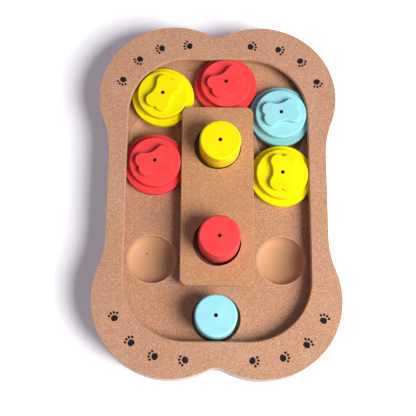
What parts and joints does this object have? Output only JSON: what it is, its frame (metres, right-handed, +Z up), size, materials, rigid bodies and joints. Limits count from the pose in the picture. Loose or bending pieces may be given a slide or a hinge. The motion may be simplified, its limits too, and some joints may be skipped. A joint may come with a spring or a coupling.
{
  "type": "dog puzzle feeder",
  "caption": "Lobed fibreboard tray with a loop channel round a central island, round captive sliders with bone grips over treat bowls, and round pegs that lift out of holes.",
  "frame": {"origin": "centre of the board's underside, on the surface it lies on", "axes": "+Z up out of the channel, +Y along the board towards the end where the sliders stand, +X to the right of a person who looks from above with +Y away from them"},
  "size_m": [0.2, 0.3, 0.0455],
  "materials": {
    "fibreboard": "satin",
    "yellow_paint": "satin",
    "red_paint": "satin",
    "blue_paint": "satin"
  },
  "bodies": {
    "board": {"bottom_sheet": "fibreboard", "floor_sheet": "fibreboard", "rim_spacer": "fibreboard", "island_spacer": "fibreboard", "top_frame": "fibreboard", "island_top": "fibreboard"},
    "corner_slider": {"corner_slider_flange": "yellow_paint", "corner_slider_disc": "yellow_paint", "corner_slider_bone": "yellow_paint"},
    "end_slider": {"end_slider_flange": "red_paint", "end_slider_disc": "red_paint", "end_slider_bone": "red_paint"},
    "left_slider": {"left_slider_flange": "red_paint", "left_slider_disc": "red_paint", "left_slider_bone": "red_paint"},
    "right_upper_slider": {"right_upper_slider_flange": "blue_paint", "right_upper_slider_disc": "blue_paint", "right_upper_slider_bone": "blue_paint"},
    "right_lower_slider": {"right_lower_slider_flange": "yellow_paint", "right_lower_slider_disc": "yellow_paint", "right_lower_slider_bone": "yellow_paint"},
    "upper_peg": {"upper_peg": "yellow_paint"},
    "lower_peg": {"lower_peg": "red_paint"},
    "end_peg": {"end_peg": "blue_paint"}
  },
  "joints": [
    {"name": "corner_slider_turns_the_corner", "type": "hinge", "parent": "board", "child": "corner_slider", "pos_m": [-0.0249, 0.0699, 0.0155], "axis": [0, 0, 1], "range_deg": [0, 16]},
    {"name": "end_slider_spins", "type": "hinge", "parent": "board", "child": "end_slider", "pos_m": [0.0069, 0.09845, 0.0158], "axis": [0, 0, 1], "continuous": true},
    {"name": "left_slider_slides", "type": "slide", "parent": "board", "child": "left_slider", "axis": [0, -1, 0], "range_m": [0, 0.095]},
    {"name": "right_upper_slider_slides", "type": "slide", "parent": "board", "child": "right_upper_slider", "axis": [0, -1, 0], "range_m": [0, 0.044]},
    {"name": "right_lower_slider_slides", "type": "slide", "parent": "right_upper_slider", "child": "right_lower_slider", "axis": [0, -1, 0], "range_m": [0, 0.043]},
    {"name": "upper_peg_lifts_out", "type": "slide", "parent": "board", "child": "upper_peg", "axis": [0, 0, 1], "range_m": [0, 0.04]},
    {"name": "lower_peg_lifts_out", "type": "slide", "parent": "board", "child": "lower_peg", "axis": [0, 0, 1], "range_m": [0, 0.04]},
    {"name": "end_peg_lifts_out", "type": "slide", "parent": "board", "child": "end_peg", "axis": [0, 0, 1], "range_m": [0, 0.04]}
  ]
}
